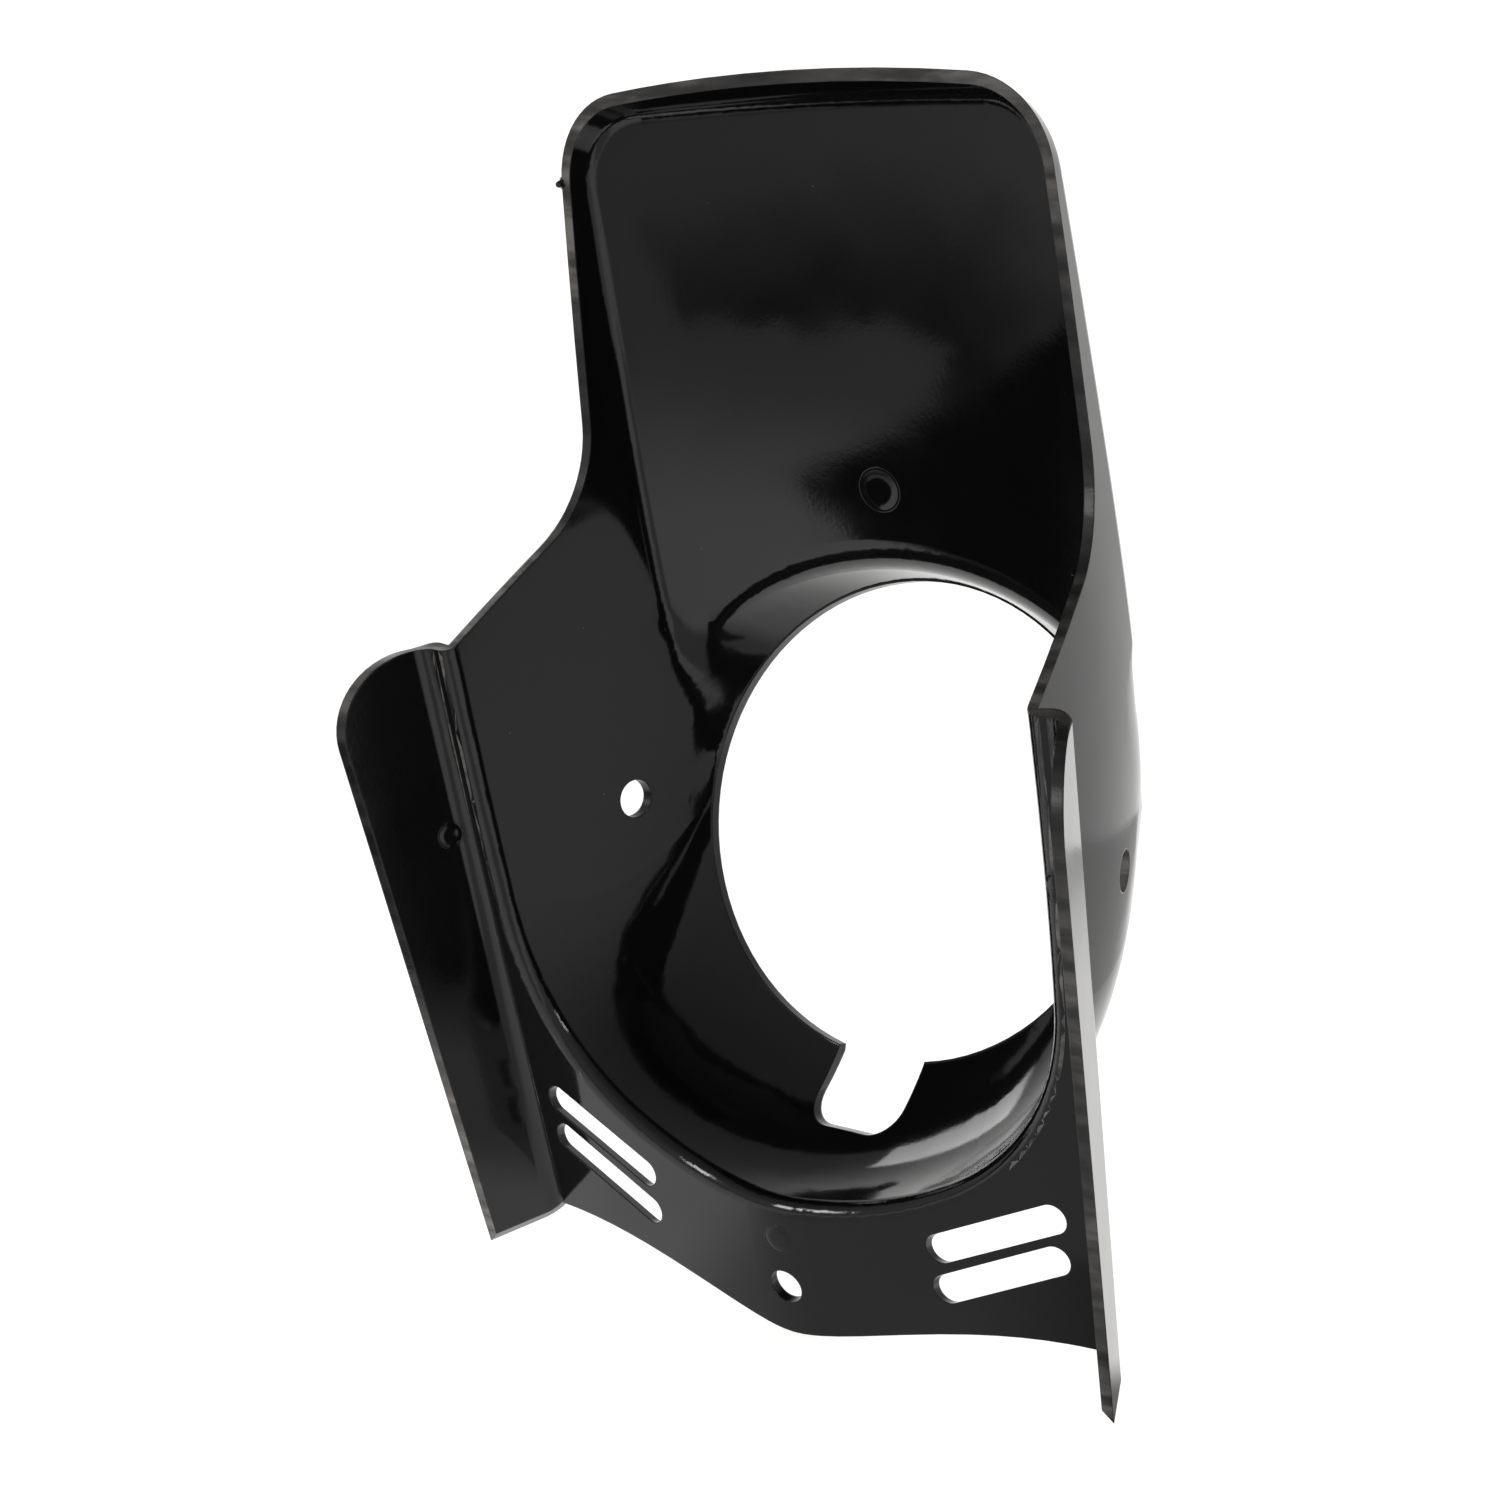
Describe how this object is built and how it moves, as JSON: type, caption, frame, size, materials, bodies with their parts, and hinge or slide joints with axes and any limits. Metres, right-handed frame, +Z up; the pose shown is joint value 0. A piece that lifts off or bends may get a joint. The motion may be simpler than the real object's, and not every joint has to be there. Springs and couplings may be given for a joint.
{
  "type": "headlight cowl",
  "caption": "One-piece motorcycle headlight cowl: tray-shaped number screen above a round headlight opening with a deep bowl, raked slotted apron and side ears.",
  "frame": {"origin": "centre of the headlight opening, in the plane of its front edge", "axes": "-Y forward out of the opening, +Z up along the number screen, X across, symmetric about X = 0"},
  "size_m": [0.1948, 0.1072, 0.2884],
  "materials": {
    "plastic": "gloss"
  },
  "bodies": {
    "root": {"cowl": "plastic"}
  },
  "joints": []
}
